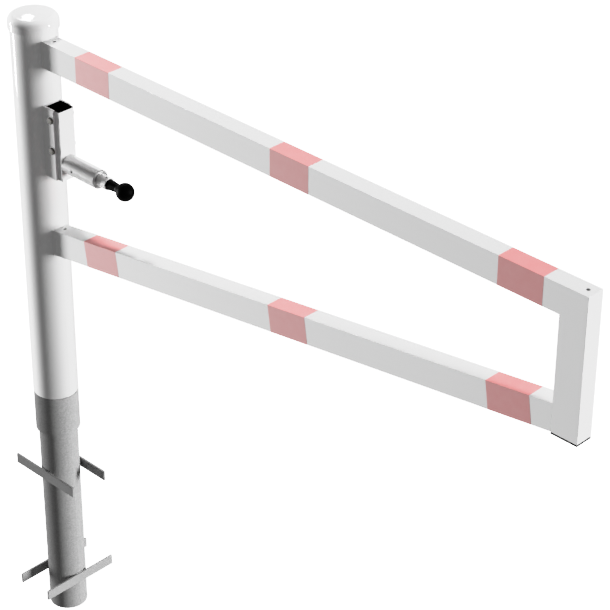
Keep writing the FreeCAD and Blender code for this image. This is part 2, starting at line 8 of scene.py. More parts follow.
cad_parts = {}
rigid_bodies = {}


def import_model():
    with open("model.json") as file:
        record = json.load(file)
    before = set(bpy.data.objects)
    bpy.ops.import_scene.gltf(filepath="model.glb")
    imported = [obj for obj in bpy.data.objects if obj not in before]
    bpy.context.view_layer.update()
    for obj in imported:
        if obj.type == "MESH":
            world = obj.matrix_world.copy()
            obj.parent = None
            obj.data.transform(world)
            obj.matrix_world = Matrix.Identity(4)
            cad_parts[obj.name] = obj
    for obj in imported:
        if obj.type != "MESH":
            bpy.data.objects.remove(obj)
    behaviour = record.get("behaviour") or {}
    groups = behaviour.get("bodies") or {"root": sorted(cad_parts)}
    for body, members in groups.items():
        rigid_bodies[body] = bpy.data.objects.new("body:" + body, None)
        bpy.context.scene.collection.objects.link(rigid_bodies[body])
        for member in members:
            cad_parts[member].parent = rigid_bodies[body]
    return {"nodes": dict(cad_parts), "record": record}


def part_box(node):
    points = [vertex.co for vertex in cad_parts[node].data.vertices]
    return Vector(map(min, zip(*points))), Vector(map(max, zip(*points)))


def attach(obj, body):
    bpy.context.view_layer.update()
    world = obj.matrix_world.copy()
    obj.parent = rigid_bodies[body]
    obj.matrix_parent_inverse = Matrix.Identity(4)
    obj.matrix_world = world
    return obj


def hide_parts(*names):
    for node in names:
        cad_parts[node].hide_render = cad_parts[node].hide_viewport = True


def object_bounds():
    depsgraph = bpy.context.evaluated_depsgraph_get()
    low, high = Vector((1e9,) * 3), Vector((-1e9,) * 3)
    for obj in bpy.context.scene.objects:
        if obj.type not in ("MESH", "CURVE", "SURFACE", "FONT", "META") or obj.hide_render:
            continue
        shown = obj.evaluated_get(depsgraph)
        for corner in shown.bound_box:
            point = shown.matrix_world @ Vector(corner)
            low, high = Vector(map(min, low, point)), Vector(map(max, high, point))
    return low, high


# A swing barrier gate in a plain studio. Lengths are in metres, in the frame of the
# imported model: +Z up along the mast, +X out along the arms, origin at ground level.

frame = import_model()
CAD_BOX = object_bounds()
MM = 0.001

# ---- Sizes read from the frame ----------------------------------------------------

TOP_ARM_LOW, TOP_ARM_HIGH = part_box("top_arm")
LOWER_ARM_LOW, LOWER_ARM_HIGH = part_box("lower_arm")
HOUSING_LOW, HOUSING_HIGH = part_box("lock_housing")
BARREL_LOW, BARREL_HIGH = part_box("plunger_barrel")
KNOB_LOW, KNOB_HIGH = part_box("ball_knob")

POST_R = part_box("gate_post")[1].y
MAST_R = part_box("mast_tube")[1].y
BARREL_R = (BARREL_HIGH.y - BARREL_LOW.y) / 2
LOCK_Z = (BARREL_LOW.z + BARREL_HIGH.z) / 2
TUBE_TALL = TOP_ARM_HIGH.z - TOP_ARM_LOW.z
TUBE_WIDE = TOP_ARM_HIGH.y - TOP_ARM_LOW.y
TUBE_CORNER = 0.4 * MM  # the outer corner radius of arms and upright, as in the CAD
SLOPE_ROUNDS = 20


def lower_arm_slope():
    """The lower arm's rise along X, found in rounds, as the slope also sets the arm's height.

    The arm's lowest point is where its flat underside meets the post.
    """
    foot = math.sqrt(POST_R**2 - (TUBE_WIDE / 2 - TUBE_CORNER) ** 2)
    run = LOWER_ARM_HIGH.x - foot
    rise = LOWER_ARM_HIGH.z - LOWER_ARM_LOW.z
    slope = 0.0
    for _ in range(SLOPE_ROUNDS):
        slope = (rise - TUBE_TALL * math.hypot(1, slope)) / run
    return slope


LOWER_SLOPE = lower_arm_slope()
LOWER_ANGLE = math.atan(LOWER_SLOPE)
LOWER_TALL = TUBE_TALL / math.cos(LOWER_ANGLE)


def lower_arm_top(x):
    """The height of the lower arm's upper face."""
    return LOWER_ARM_HIGH.z - (LOWER_ARM_HIGH.x - x) * LOWER_SLOPE


# ---- Node material helper ---------------------------------------------------------


class NodeTree:
    """A shader node tree with a few shorthands."""

    def __init__(self, tree):
        self.tree = tree
        self.tree.nodes.clear()

    def add(self, kind, **settings):
        node = self.tree.nodes.new(kind)
        for key, value in settings.items():
            setattr(node, key, value)
        return node

    def plug(self, value, socket):
        """Links an output, or sets a plain value."""
        if isinstance(value, bpy.types.NodeSocket):
            self.tree.links.new(value, socket)
        else:
            socket.default_value = value

    def span(self, value, low, high, to_low=0.0, to_high=1.0):
        """Maps low..high to to_low..to_high, clamped."""
        node = self.add("ShaderNodeMapRange")
        self.plug(value, node.inputs["Value"])
        node.inputs["From Min"].default_value = low
        node.inputs["From Max"].default_value = high
        node.inputs["To Min"].default_value = to_low
        node.inputs["To Max"].default_value = to_high
        return node.outputs["Result"]

    def math(self, operation, first, second):
        node = self.add("ShaderNodeMath", operation=operation)
        self.plug(first, node.inputs[0])
        self.plug(second, node.inputs[1])
        return node.outputs[0]

    def mix(self, share, first, second):
        """A colour between first and second."""
        node = self.add("ShaderNodeMix", data_type="RGBA")
        self.plug(share, node.inputs["Factor"])
        self.plug(first, node.inputs[6])
        self.plug(second, node.inputs[7])
        return node.outputs[2]


NOISE_LOW, NOISE_HIGH = 0.3, 0.7  # where nearly all of the noise texture's values lie


class Finish(NodeTree):
    """A node material. Its coordinates are the piece's own, in metres."""

    def __init__(self, name):
        self.material = bpy.data.materials.new(name)
        self.material.use_nodes = True
        super().__init__(self.material.node_tree)
        self.output = self.add("ShaderNodeOutputMaterial")
        self.shader = self.add("ShaderNodeBsdfPrincipled")
        self.tree.links.new(self.shader.outputs[0], self.output.inputs["Surface"])
        self.place = self.add("ShaderNodeTexCoord").outputs["Object"]

    def set(self, **inputs):
        """Sets inputs of the main shader, named with _ for a space."""
        for key, value in inputs.items():
            self.plug(value, self.shader.inputs[key.replace("_", " ")])

    def stretched(self, x, y, z):
        node = self.add("ShaderNodeMapping")
        self.plug(self.place, node.inputs["Vector"])
        node.inputs["Scale"].default_value = (x, y, z)
        return node.outputs[0]

    def noise(self, size, detail, rough=0.5, place=None):
        """Soft noise whose features are about size across."""
        node = self.add("ShaderNodeTexNoise")
        self.plug(place or self.place, node.inputs["Vector"])
        node.inputs["Scale"].default_value = 1 / size
        node.inputs["Detail"].default_value = detail
        node.inputs["Roughness"].default_value = rough
        return node.outputs["Fac"]

    def mottle(self, size, detail, to_low=0.0, to_high=1.0):
        """Soft noise stretched to run from to_low to to_high."""
        return self.span(self.noise(size, detail), NOISE_LOW, NOISE_HIGH, to_low, to_high)

    def cells(self, size, feature="F1", output="Color"):
        """Random cells about size across."""
        node = self.add("ShaderNodeTexVoronoi", feature=feature)
        self.plug(self.place, node.inputs["Vector"])
        node.inputs["Scale"].default_value = 1 / size
        return node.outputs[output]

    def coordinate(self, axis):
        node = self.add("ShaderNodeSeparateXYZ")
        self.plug(self.place, node.inputs[0])
        return node.outputs[axis]

    def bump(self, height, depth, under=None):
        """Raises the surface by height times depth, in metres."""
        node = self.add("ShaderNodeBump")
        self.plug(height, node.inputs["Height"])
        node.inputs["Distance"].default_value = depth
        if under is not None:
            self.plug(under, node.inputs["Normal"])
        return node.outputs[0]


def grey(value):
    return (value, value, value, 1.0)


# ---- Materials --------------------------------------------------------------------


def white_powder_coat():
    """Gloss white powder coat with a very fine orange peel."""
    f = Finish("white_powder_coat")
    f.set(Base_Color=f.mix(f.mottle(0.35, 3.0), grey(0.845), grey(0.865)))
    f.set(Roughness=f.mottle(0.04, 3.0, 0.045, 0.065))
    peel = f.bump(f.noise(3.2 * MM, 2.0), 0.0025 * MM)
    f.set(Normal=f.bump(f.noise(0.9 * MM, 1.0), 0.001 * MM, peel))
    return f.material


def white_gloss_cap():
    """Gloss moulded plastic, smoother than the paint."""
    f = Finish("white_gloss_cap")
    f.set(Base_Color=f.mix(f.noise(0.05, 2.0), grey(0.85), grey(0.87)))
    f.set(Roughness=f.mottle(0.015, 3.0, 0.035, 0.06))
    f.set(Normal=f.bump(f.noise(4.0 * MM, 2.0), 0.002 * MM))
    return f.material


def red_film():
    """Pale red reflective film with a fine embossed cell pattern.

    Side faces are painted a paler, whiter red than upper faces, a painted sheen; both deepen a
    little along the arms, a painted reflection that is strongest near the post.
    """
    f = Finish("red_film")
    # painted reflection and sheen: the red is paler near the post and deeper along the arm, and
    # side faces, picked by their normal, are paler than upper faces
    along = f.span(f.coordinate("X"), 0.2, 1.35)
    face = f.mix(along, (0.735, 0.465, 0.465, 1.0), (0.67, 0.335, 0.335, 1.0))
    above = f.mix(along, (1.0, 0.40, 0.40, 1.0), (1.0, 0.37, 0.37, 1.0))
    normal = f.add("ShaderNodeSeparateXYZ")
    f.plug(f.add("ShaderNodeNewGeometry").outputs["Normal"], normal.inputs[0])
    colour = f.mix(f.span(normal.outputs["Z"], 0.3, 0.7), face, above)
    f.set(Base_Color=f.mix(f.mottle(0.02, 3.0, 0.0, 0.04), colour, grey(0.9)))
    f.set(Roughness=f.mottle(0.01, 2.0, 0.30, 0.36))
    f.set(Specular_IOR_Level=0.05)
    cells = f.cells(2.5 * MM, "DISTANCE_TO_EDGE", "Distance")
    f.set(Normal=f.bump(f.span(cells, 0.0, 0.08), 0.003 * MM))
    return f.material


def galvanised(name, light, dark):
    """Hot-dip zinc: fine grain over small spangle cells and cloudy patches."""
    f = Finish(name)
    spangle = f.add("ShaderNodeRGBToBW")
    f.plug(f.cells(3.0 * MM), spangle.inputs[0])
    grain = f.noise(2.0 * MM, 3.0, 0.7)
    cell_share, grain_share, cloud_share = 0.25, 0.7, 0.05
    tone = f.math("MULTIPLY", spangle.outputs[0], cell_share)
    tone = f.math("ADD", tone, f.math("MULTIPLY", grain, grain_share))
    tone = f.math("ADD", tone, f.math("MULTIPLY", f.noise(0.03, 3.0), cloud_share))
    f.set(Base_Color=f.mix(f.span(tone, 0.36, 0.64), grey(dark), grey(light)))
    f.set(Roughness=f.span(spangle.outputs[0], 0.2, 0.8, 0.42, 0.55))
    f.set(Specular_IOR_Level=0.25)
    fine = f.bump(grain, 0.05 * MM)
    f.set(Normal=f.bump(spangle.outputs[0], 0.01 * MM, fine))
    return f.material


MOUTH_DEPTH = 3 * MM  # the barrel's bore is painted dark, as shade, from this far inside its mouth
BARREL_SKIN = 0.3 * MM  # and from this far under its outer surface
ROD_START = 1 * MM  # the rod's own look starts this far outside the mouth


def bright_steel():
    """Turned steel with very fine rings round the lock axis.

    The barrel's bore is painted dark as the shade inside it, and the rod outside it is paler and
    more satin.
    """
    f = Finish("bright_steel")
    rings = f.noise(0.25 * MM, 2.0, 0.6, f.stretched(1.0, 0.02, 0.02))
    up = f.math("SUBTRACT", f.coordinate("Z"), LOCK_Z)
    across = f.coordinate("Y")
    square = f.math("ADD", f.math("MULTIPLY", up, up), f.math("MULTIPLY", across, across))
    radius = f.math("SQRT", square, 0)
    along = f.coordinate("X")
    in_barrel = f.math("LESS_THAN", along, BARREL_HIGH.x - MOUTH_DEPTH)
    bore = f.math("MULTIPLY", f.math("LESS_THAN", radius, BARREL_R - BARREL_SKIN), in_barrel)
    on_rod = f.math("GREATER_THAN", along, BARREL_HIGH.x + ROD_START)
    polished = f.mix(f.noise(0.02, 2.0), grey(0.61), grey(0.64))
    # painted shade: a dark grey inside the bore, where the barrel is shaded
    painted_bore_shade = grey(0.1)
    rod_tone = grey(0.84)
    f.set(Base_Color=f.mix(on_rod, f.mix(bore, polished, painted_bore_shade), rod_tone))
    f.set(Metallic=1.0)
    satin = f.math("MULTIPLY", on_rod, 0.16)
    ring_roughness = f.span(rings, NOISE_LOW, NOISE_HIGH, 0.38, 0.42)
    f.set(Roughness=f.math("ADD", ring_roughness, satin))
    f.set(Normal=f.bump(rings, 0.0003 * MM))
    return f.material


def plated_steel(name, light, dark, metallic, roughness):
    """Steel with a mottled surface between two tones: plated, weathered or oiled."""
    f = Finish(name)
    f.set(Base_Color=f.mix(f.mottle(2.5 * MM, 3.0), dark, light))
    f.set(Metallic=metallic)
    f.set(Roughness=f.mottle(1.5 * MM, 2.0, roughness, roughness + 0.12))
    f.set(Normal=f.bump(f.noise(0.6 * MM, 2.0), 0.008 * MM))
    return f.material


def black_moulding(name, roughness, grain_size, specular):
    """Black plastic with a fine moulded grain."""
    f = Finish(name)
    f.set(Base_Color=f.mix(f.noise(0.01, 2.0), grey(0.0004), grey(0.0012)))
    f.set(Roughness=f.mottle(4 * MM, 3.0, roughness, roughness + 0.1))
    f.set(Specular_IOR_Level=specular)
    f.set(Normal=f.bump(f.noise(grain_size, 2.0), 0.015 * MM))
    return f.material


def bearing_plastic():
    """Natural acetal."""
    f = Finish("bearing_plastic")
    f.set(Base_Color=f.mix(f.noise(0.02, 2.0), (0.78, 0.77, 0.72, 1), (0.84, 0.83, 0.79, 1)))
    f.set(Roughness=f.mottle(5 * MM, 2.0, 0.35, 0.45))
    f.set(Normal=f.bump(f.noise(0.8 * MM, 2.0), 0.01 * MM))
    return f.material


FINISHES = {
    "white_powder_coat": white_powder_coat(),
    "white_gloss_cap": white_gloss_cap(),
    "red_film": red_film(),
    "galvanised_steel": galvanised("galvanised_steel", 0.29, 0.21),
    "galvanised_flat_bar": galvanised("galvanised_flat_bar", 0.27, 0.23),
    "zinc_plated_steel": plated_steel("zinc_plated_steel", grey(0.7), grey(0.55), 0.8, 0.25),
    "weathered_fastener": plated_steel(
        "weathered_fastener", (0.095, 0.091, 0.076, 1), (0.058, 0.055, 0.046, 1), 0.0, 0.6
    ),
    "bright_steel": bright_steel(),
    "spring_steel": plated_steel("spring_steel", grey(0.05), grey(0.03), 0.4, 0.4),
    "black_plastic": black_moulding("black_plastic", 0.55, 0.5 * MM, 0.0),
    "black_knob": black_moulding("black_knob", 0.4, 0.9 * MM, 0.015),
    "bearing_plastic": bearing_plastic(),
}


def paint_cad_nodes():
    """Gives every carried-over node the finish that the record names for it."""
    for part in frame["record"]["subparts"]:
        node = frame["nodes"][part["node"]]
        node.data.materials.clear()
        node.data.materials.append(FINISHES[part["material_slot"]])


# ---- Mesh helpers -----------------------------------------------------------------

SHARP_ANGLE = math.radians(32)
WELD_DISTANCE = 0.001 * MM


def make_piece(name, body, slot, bm, stands_for=()):
    """Turns a bmesh into a piece that rides on a body, smooth but for its sharp edges."""
    bmesh.ops.remove_doubles(bm, verts=bm.verts, dist=WELD_DISTANCE)
    bmesh.ops.recalc_face_normals(bm, faces=bm.faces)
    for face in bm.faces:
        face.smooth = True
    for edge in bm.edges:
        edge.smooth = len(edge.link_faces) == 2 and edge.calc_face_angle() < SHARP_ANGLE
    mesh = bpy.data.meshes.new(name)
    bm.to_mesh(mesh)
    bm.free()
    mesh.materials.append(FINISHES[slot])
    piece = bpy.data.objects.new(name, mesh)
    bpy.context.scene.collection.objects.link(piece)
    flat_first = piece.modifiers.new("flat_faces_stay_flat", "WEIGHTED_NORMAL")
    flat_first.keep_sharp = True
    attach(piece, body)
    if stands_for:
        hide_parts(*stands_for)
    return piece


def join_rings(bm, rings, closed=False):
    """Skins rings of points that have the same count; an open run gets end faces."""
    rows = [[bm.verts.new(point) for point in ring] for ring in rings]
    count = len(rows[0])
    pairs = list(zip(rows, rows[1:]))
    if closed:
        pairs.append((rows[-1], rows[0]))
    for first, second in pairs:
        for i in range(count):
            j = (i + 1) % count
            bm.faces.new((first[i], first[j], second[j], second[i]))
    if not closed:
        bm.faces.new(rows[0][::-1])
        bm.faces.new(rows[-1])


def turned(bm, profile, base, axis, steps):
    """Revolves (height, radius) points about an axis; the profile closes on itself or the axis."""
    turn = axis.to_track_quat("Z", "Y")
    rings = []
    for i in range(steps):
        angle = math.tau * i / steps
        out = Vector((math.cos(angle), math.sin(angle), 0))
        rings.append([base + turn @ (out * r + Vector((0, 0, h))) for h, r in profile])
    join_rings(bm, rings, closed=True)


def rounded_box(bm, low, high, rounding):
    """A block with all its edges rounded."""
    size = high - low
    place = Matrix.Translation((low + high) / 2) @ Matrix.Diagonal((*size, 1))
    made = bmesh.ops.create_cube(bm, size=1.0, matrix=place)
    edges = {edge for vert in made["verts"] for edge in vert.link_edges}
    bmesh.ops.bevel(
        bm, geom=list(edges), offset=rounding, segments=3, profile=0.5, affect="EDGES"
    )


def rounded_outline(wide, tall, corner, steps=5):
    """A rounded rectangle as (across, up) points with their outward directions."""
    outline = []
    for quarter in range(4):
        side_x = 1 if quarter in (0, 3) else -1
        side_y = 1 if quarter in (0, 1) else -1
        middle = Vector((side_x * (wide / 2 - corner), side_y * (tall / 2 - corner)))
        for i in range(steps + 1):
            angle = math.pi / 2 * (quarter + i / steps)
            out = Vector((math.cos(angle), math.sin(angle)))
            outline.append((middle + out * corner, out))
    return outline


def walk(points, step, closed):
    """Spaces points evenly along a path, about step apart."""
    ends = points + points[:1] if closed else points
    lengths = [(b - a).length for a, b in zip(ends, ends[1:])]
    total = sum(lengths)
    count = max(4, round(total / step))
    spaced = []
    stops = count if closed else count + 1
    for i in range(stops):
        distance = total * i / count
        k = 0
        while k < len(lengths) - 1 and distance > lengths[k]:
            distance -= lengths[k]
            k += 1
        spaced.append(ends[k].lerp(ends[k + 1], min(1.0, distance / lengths[k])))
    return spaced


# ---- Welds ------------------------------------------------------------------------

BEAD_R = 1.2 * MM
BEAD_LIFT = BEAD_R * 0.1  # how far the middle of a painted bead stands off the surface
COLLAR_BEAD_R = 2.2 * MM
BEAD_STEP = 0.6 * MM
BEAD_SIDES = 10
BEAD_TIP = 0.15  # how much of its section a bead keeps at its very end
RIPPLE_PITCH = 2.8 * MM
RIPPLE = 0.09  # how far a ripple departs from the bead's radius, as a share of it
BRACKET_WELD_INSET = 6 * MM
ANCHOR_WELD_REACH = 10 * MM


def add_bead(bm, points, closed, radius=BEAD_R):
    """A weld bead along a path, with the small ripples of its laid drops."""
    path = walk(points, BEAD_STEP, closed)
    count = len(path)
    rings = []
    across = None
    for i, point in enumerate(path):
        before = path[i - 1] if closed or i > 0 else point
        after = path[(i + 1) % count] if closed or i < count - 1 else point
        along = (after - before).normalized()
        if across is None:
            across = along.orthogonal().normalized()
        across = (across - along * across.dot(along)).normalized()
        up = along.cross(across)
        phase = (i * BEAD_STEP / RIPPLE_PITCH) % 1.0
        size = radius * (1 + RIPPLE * (2 * phase - 1))
        if not closed:
            taper = min(i, count - 1 - i) * BEAD_STEP / radius
            size *= math.sqrt(min(1.0, BEAD_TIP + taper))
        ring = []
        for k in range(BEAD_SIDES):
            angle = math.tau * k / BEAD_SIDES
            ring.append(point + (across * math.cos(angle) + up * math.sin(angle)) * size)
        rings.append(ring)
    join_rings(bm, rings, closed)


def coped_path(top_at, tall, grow):
    """The line where an arm meets the post's surface; top_at gives its upper face's height at x."""
    path = []
    for point, out in rounded_outline(TUBE_WIDE, tall, TUBE_CORNER):
        across, up = point + out * grow
        x = math.sqrt((POST_R + grow) ** 2 - across**2)
        path.append(Vector((x, across, top_at(x) - tall / 2 + up)))
    return path


def circle_path(radius, middle, steps=96):
    """A level circle as points, from the side away from the arms."""
    angles = [math.tau * i / steps for i in range(steps)]
    return [middle - Vector((math.cos(a), math.sin(a), 0)) * radius for a in angles]


def gate_welds():
    """Painted welds: arms to the post, and brackets to the post."""
    bm = bmesh.new()
    top_arm_path = coped_path(lambda x: TOP_ARM_HIGH.z, TUBE_TALL, BEAD_LIFT)
    add_bead(bm, top_arm_path, closed=True)
    add_bead(bm, coped_path(lower_arm_top, LOWER_TALL, BEAD_LIFT), closed=True)
    heights = (HOUSING_LOW.z + BRACKET_WELD_INSET, HOUSING_HIGH.z - BRACKET_WELD_INSET)
    for side in (-1, 1):
        y = side * (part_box("bracket_plate_rear")[1].y + BEAD_LIFT)
        x = math.sqrt(POST_R**2 - y**2) + BEAD_LIFT
        add_bead(bm, [Vector((x, y, z)) for z in heights], closed=False)
    make_piece("gate_welds", "gate", "white_powder_coat", bm)


def ground_welds():
    """Galvanised welds: the collar's foot, and the anchors' upper and lower edges."""
    bm = bmesh.new()
    collar_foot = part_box("ground_collar")[0].z
    collar_path = circle_path(MAST_R, Vector((0, 0, collar_foot)))
    add_bead(bm, collar_path, closed=True, radius=COLLAR_BEAD_R)
    for node, turned_round in (("upper_anchor_bars", False), ("lower_anchor_bars", True)):
        low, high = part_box(node)
        for side in (-1, 1):
            for z in (low.z, high.z):
                line = []
                for along in (-ANCHOR_WELD_REACH, 0, ANCHOR_WELD_REACH):
                    out = side * (math.sqrt(MAST_R**2 - along**2) + BEAD_R)
                    x, y = (out, along) if turned_round else (along, out)
                    line.append(Vector((x, y, z)))
                add_bead(bm, line, closed=False)
    make_piece("ground_welds", "ground_post", "galvanised_steel", bm)


# ---- Flat bars and plates ---------------------------------------------------------

BAR_ROUNDING = 0.7 * MM


def anchor_bars(node):
    """A pair of flat bars with rolled edges."""
    low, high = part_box(node)
    crossing = MAST_R < high.x < high.y
    thickness = (high.x if crossing else high.y) - MAST_R
    bm = bmesh.new()
    for side in (-1, 1):
        near = side * MAST_R
        far = side * (MAST_R + thickness)
        first, last = min(near, far), max(near, far)
        if crossing:
            corners = Vector((first, low.y, low.z)), Vector((last, high.y, high.z))
        else:
            corners = Vector((low.x, first, low.z)), Vector((high.x, last, high.z))
        rounded_box(bm, *corners, BAR_ROUNDING)
    make_piece(node + "_rolled", "ground_post", "galvanised_flat_bar", bm, (node,))


def bracket_plates():
    """The two side plates with eased edges; their inner edges run into the post's wall."""
    into_post = 1.5 * MM
    for node in ("bracket_plate_front", "bracket_plate_rear"):
        low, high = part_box(node)
        outer = max(abs(low.y), abs(high.y))
        start = math.sqrt(POST_R**2 - outer**2) - into_post
        bm = bmesh.new()
        rounded_box(bm, Vector((start, low.y, low.z)), high, BAR_ROUNDING)
        make_piece(node + "_cut", "gate", "white_powder_coat", bm, (node,))


# ---- Fasteners --------------------------------------------------------------------

M8_R = 4 * MM
M8_PITCH = 1.25 * MM
THREAD_DEPTH = 0.6 * MM
THREAD_STEPS = 36  # points round the thread
THREAD_LEVELS = 6  # rings of points to one turn of the thread
PLAIN_SHORT = 4 * MM  # how far before the rear washer the thread starts
HEX_STEPS = 72
HEX_CHAMFER = math.radians(30)
HEX_FACE = 0.96  # the round face left by the chamfer, as a share of the width across flats


def hex_radius(angle, flats):
    """How far a hexagon's side is from its middle."""
    turn = math.radians(60)
    return flats / 2 / math.cos((angle % turn) - turn / 2)


def hex_block(bm, flats, height, hole_r, base, axis, both_ends):
    """A hexagon whose corners are turned off at one end or both, with or without a hole."""
    turn = axis.to_track_quat("Z", "Y")
    face_r = flats / 2 * HEX_FACE
    rings = []
    for i in range(HEX_STEPS):
        angle = math.tau * i / HEX_STEPS
        out = Vector((math.cos(angle), math.sin(angle), 0))
        edge_r = hex_radius(angle, flats)
        drop = (edge_r - face_r) * math.tan(HEX_CHAMFER)
        foot = drop if both_ends else 0.0
        foot_r = face_r if both_ends else edge_r
        profile = [
            (0, hole_r), (0, foot_r), (foot, edge_r),
            (height - drop, edge_r), (height, face_r), (height, hole_r),
        ]
        rings.append([base + turn @ (out * r + Vector((0, 0, h))) for h, r in profile])
    join_rings(bm, rings, closed=True)


def threaded_bar(bm, radius, length, base, axis):
    """A bar with a V thread and a chamfered tip."""
    turn = axis.to_track_quat("Z", "Y")
    rise = M8_PITCH / THREAD_LEVELS
    rings = []
    for level in range(int(length / rise) + 1):
        height = level * rise
        ring = []
        for i in range(THREAD_STEPS):
            turns = height / M8_PITCH - i / THREAD_STEPS
            valley = abs(2 * (turns % 1.0) - 1)
            tip = max(0.0, height - (length - THREAD_DEPTH))
            r = radius - max(THREAD_DEPTH * valley, tip)
            angle = math.tau * i / THREAD_STEPS
            out = Vector((math.cos(angle), math.sin(angle), 0)) * r
            ring.append(base + turn @ (out + Vector((0, 0, height))))
        rings.append(ring)
    join_rings(bm, rings)


def bracket_fasteners():
    """Two hexagon bolts through the brackets, with washers and nuts at the rear."""
    bolt_low, bolt_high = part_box("bracket_bolts")
    nut_low, nut_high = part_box("bracket_nuts")
    washer_low, washer_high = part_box("bracket_washers")
    plate_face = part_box("bracket_plate_front")[0].y
    across_corners = nut_high.x - nut_low.x
    flats = across_corners * math.cos(math.radians(30))
    washer_r = (washer_high.x - washer_low.x) / 2
    x = (nut_low.x + nut_high.x) / 2
    heights = (washer_low.z + washer_r, washer_high.z - washer_r)
    rearward = Vector((0, 1, 0))

    bolts = bmesh.new()
    nuts = bmesh.new()
    washers = bmesh.new()
    for z in heights:
        seat = Vector((x, plate_face, z))
        head = plate_face - bolt_low.y
        hex_block(bolts, flats, head, 0, seat, -rearward, both_ends=False)
        plain = washer_low.y - PLAIN_SHORT
        shank = [(0, 0), (0, M8_R), (plain - plate_face, M8_R), (plain - plate_face, 0)]
        turned(bolts, shank, seat, rearward, steps=32)
        threaded_bar(bolts, M8_R, bolt_high.y - plain, Vector((x, plain, z)), rearward)
        nut_seat = Vector((x, nut_low.y, z))
        nut_tall = nut_high.y - nut_low.y
        hex_block(nuts, flats, nut_tall, M8_R, nut_seat, rearward, both_ends=True)
        thick = washer_high.y - washer_low.y
        ease = 0.3 * MM
        ring = [
            (0, M8_R + ease), (0, washer_r - ease), (ease, washer_r), (thick - ease, washer_r),
            (thick, washer_r - ease), (thick, M8_R + ease),
        ]
        turned(washers, ring, Vector((x, washer_low.y, z)), rearward, steps=48)
    make_piece("bracket_hex_bolts", "gate", "weathered_fastener", bolts, ("bracket_bolts",))
    make_piece("bracket_hex_nuts", "gate", "weathered_fastener", nuts, ("bracket_nuts",))
    make_piece("bracket_flat_washers", "gate", "weathered_fastener", washers, ("bracket_washers",))


# ---- Moulded pieces ---------------------------------------------------------------

END_PLUG_FLANGE = 4.5 * MM
HOUSING_PLUG_FLANGE = 2.0 * MM
PLUG_EASE = 0.5 * MM
PLUG_SLEEVE = 3.3 * MM  # how far the insert stands in from the flange's edge
PLUG_WALL = 2.5 * MM


def plug(node, flange, slot):
    """A moulded tube plug: an eased flange and a hollow insert."""
    low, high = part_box(node)
    inward = 1 if node != "housing_top_plug" else -1
    face_z = low.z if inward > 0 else high.z
    wide = high.y - low.y
    tall = high.x - low.x
    middle = Vector(((low.x + high.x) / 2, 0, face_z))
    whole = high.z - low.z
    hollow = PLUG_SLEEVE + PLUG_WALL

    def ring(shrink, rise):
        corner = max(TUBE_CORNER - shrink, PLUG_EASE)
        outline = rounded_outline(tall - 2 * shrink, wide - 2 * shrink, corner)
        return [middle + Vector((p.x, p.y, inward * rise)) for p, _ in outline]

    levels = [
        (PLUG_EASE, 0), (0, PLUG_EASE), (0, flange), (PLUG_SLEEVE, flange),
        (PLUG_SLEEVE, whole - PLUG_EASE), (PLUG_SLEEVE + PLUG_EASE, whole),
        (hollow, whole), (hollow, flange + PLUG_EASE),
    ]
    bm = bmesh.new()
    join_rings(bm, [ring(shrink, rise) for shrink, rise in levels])
    make_piece(node + "_moulded", "gate", slot, bm, (node,))


# The knob's proportions, as shares of the ball's radius
KNOB_BASE = 0.59
KNOB_NECK = 0.47
KNOB_NECK_TO_END = 2.15  # from the narrowest place to the ball's far end

KNOB_EASE = 0.6 * MM
KNOB_BORE_R = 5 * MM
KNOB_BORE_DEPTH = 26 * MM
KNOB_RIDGE = 0.12 * MM  # how far the parting line stands up
KNOB_FLARE = 1.6  # how late the neck widens into the ball
NECK_STEPS = 10
BALL_STEPS = 40
JOIN_ANGLE = math.radians(140)  # where the neck meets the ball, from its far end


def ball_knob():
    """A ball on a waisted neck, moulded in one, with a fine parting line round its equator."""
    ball_r = (KNOB_HIGH.z - KNOB_LOW.z) / 2
    ball_at = KNOB_HIGH.x - ball_r - KNOB_LOW.x
    base_r = ball_r * KNOB_BASE
    neck_r = ball_r * KNOB_NECK
    neck_at = KNOB_HIGH.x - KNOB_LOW.x - KNOB_NECK_TO_END * ball_r
    join = ball_at + ball_r * math.cos(JOIN_ANGLE)
    join_r = ball_r * math.sin(JOIN_ANGLE)
    profile = [
        (KNOB_BORE_DEPTH, 0), (KNOB_BORE_DEPTH, KNOB_BORE_R), (0, KNOB_BORE_R),
        (0, base_r - KNOB_EASE), (KNOB_EASE, base_r),
    ]
    for i in range(1, NECK_STEPS):
        height = KNOB_EASE + i / NECK_STEPS * (join - KNOB_EASE)
        line = base_r + (neck_r - base_r) * min(1.0, height / neck_at)
        blend = max(0.0, (height - neck_at) / (join - neck_at))
        profile.append((height, line + (join_r - line) * blend**KNOB_FLARE))
    for i in range(BALL_STEPS):
        angle = JOIN_ANGLE * (1 - i / BALL_STEPS)
        on_equator = abs(angle - math.pi / 2) < JOIN_ANGLE / BALL_STEPS / 2
        size = ball_r + (KNOB_RIDGE if on_equator else 0.0) - KNOB_RIDGE
        profile.append((ball_at + size * math.cos(angle), size * math.sin(angle)))
    profile.append((ball_at + ball_r - KNOB_RIDGE, 0))
    bm = bmesh.new()
    turned(bm, profile, Vector((KNOB_LOW.x, 0, LOCK_Z)), Vector((1, 0, 0)), steps=72)
    make_piece("ball_knob_moulded", "lock_plunger", "black_knob", bm, ("ball_knob",))


# ---- Reflective bands -------------------------------------------------------------

FILM = 0.15 * MM  # as real film; the CAD's bands are thicker
OVERLAP = 12 * MM
STEP_RUN = 1.5 * MM  # how far the film takes to climb over its own start


def band_spans():
    """Where each band of the level arm starts and ends along X."""
    marks = {round(vertex.co.x, 5) for vertex in frame["nodes"]["top_arm_bands"].data.vertices}
    marks = sorted(marks)
    return list(zip(marks[::2], marks[1::2]))


